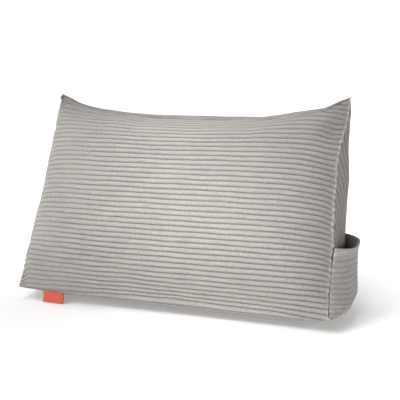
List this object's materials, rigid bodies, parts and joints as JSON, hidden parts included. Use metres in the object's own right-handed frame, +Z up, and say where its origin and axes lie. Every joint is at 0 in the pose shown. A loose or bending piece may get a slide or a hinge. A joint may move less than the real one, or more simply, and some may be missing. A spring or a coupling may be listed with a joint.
{
  "type": "backrest pillow",
  "caption": "Wedge-shaped filled backrest pillow in wide-wale corduroy, with pointed upper corners, a hemmed pocket on one side and a small folded tab in its front bottom seam.",
  "frame": {"origin": "on the flat part of the base, below the middle of the pillow's width", "axes": "+X to the right as seen from the front, along the width; the sloped front faces -Y; +Z up from the surface it stands on"},
  "size_m": [0.6442, 0.257, 0.391],
  "materials": {
    "corduroy": "soft ribbed pile, matt with a faint sheen",
    "ribbon": "smooth woven ribbon, slightly glossy"
  },
  "bodies": {
    "root": {"cushion": "corduroy", "side_pocket": "corduroy", "label": "ribbon"}
  },
  "joints": []
}
